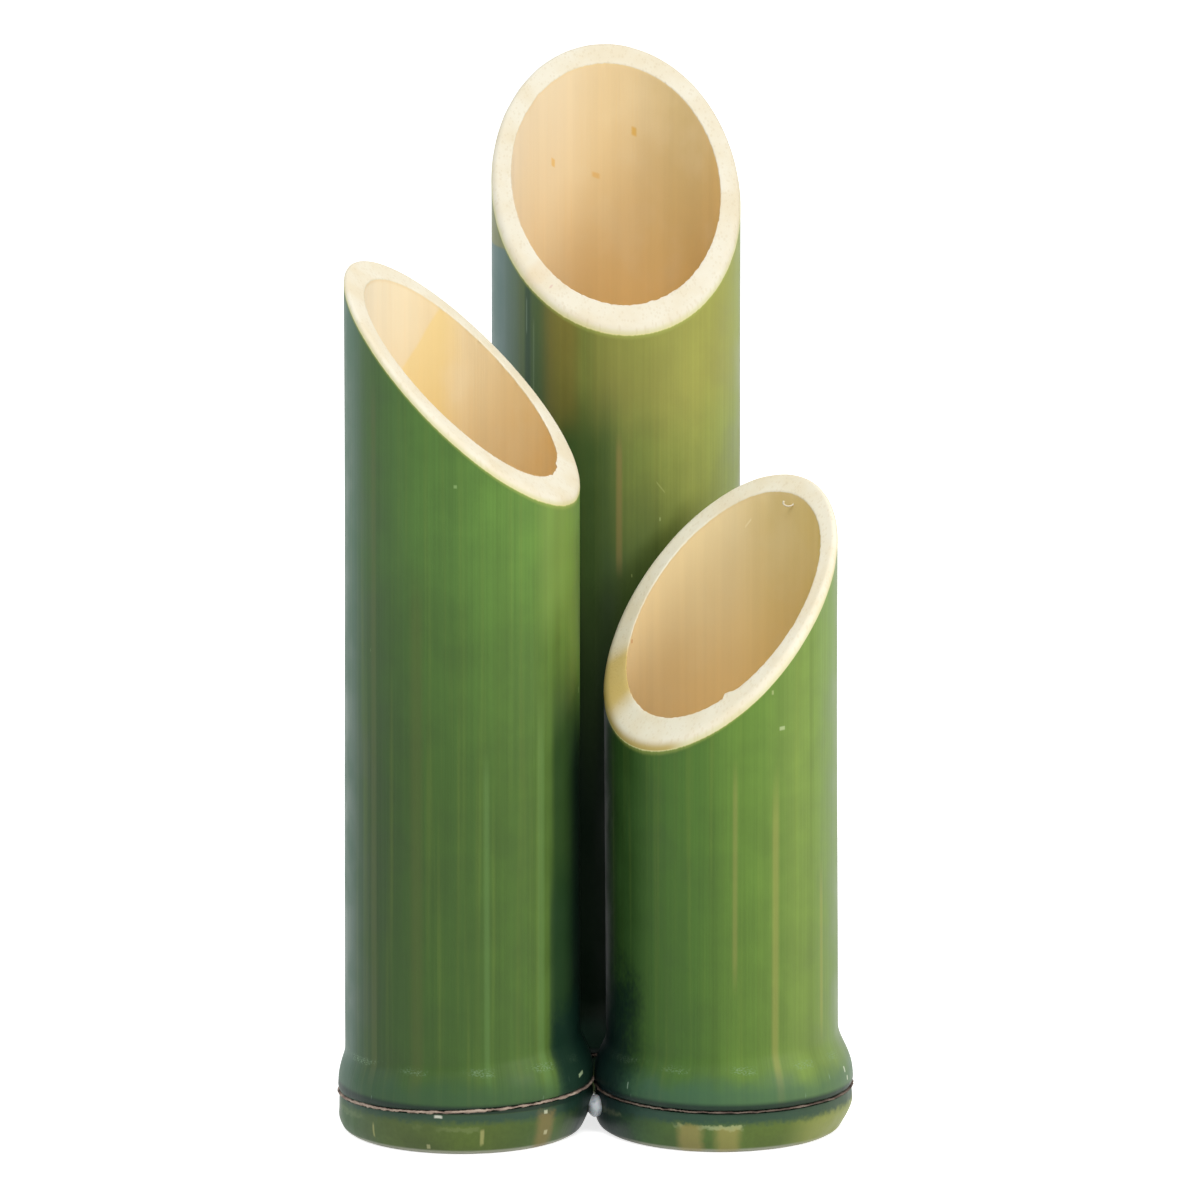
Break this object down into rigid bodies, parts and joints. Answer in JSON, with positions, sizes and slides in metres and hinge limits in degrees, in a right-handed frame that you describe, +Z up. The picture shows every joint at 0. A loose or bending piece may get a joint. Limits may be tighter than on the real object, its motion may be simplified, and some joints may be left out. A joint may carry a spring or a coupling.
{
  "type": "bamboo vase",
  "caption": "Free-standing vase of upright green bamboo culms of different heights, joined at the foot, each an open vessel with a slanted mouth and a node that closes it below.",
  "frame": {"origin": "on the floor, in the middle of the vase's outline", "axes": "+X to the right and +Y to the back as seen from the front, where the left and right culms stand side by side and the tall culm stands behind them; +Z up along the culms"},
  "size_m": [0.1969, 0.1976, 0.3957],
  "materials": {
    "green_bamboo": "waxy satin green skin",
    "dried_sheath": "rough, fibrous and dry",
    "dowel_wood": "plain sanded bamboo",
    "glue": "milky, soft gloss"
  },
  "bodies": {
    "root": {"tall_culm": "green_bamboo", "left_culm": "green_bamboo", "right_culm": "green_bamboo", "tall_sheath_stub": "dried_sheath", "left_sheath_stub": "dried_sheath", "right_sheath_stub": "dried_sheath", "left_right_dowel": "dowel_wood", "left_tall_dowel": "dowel_wood", "right_tall_dowel": "dowel_wood", "left_right_glue": "glue", "left_tall_glue": "glue", "right_tall_glue": "glue"}
  },
  "joints": []
}
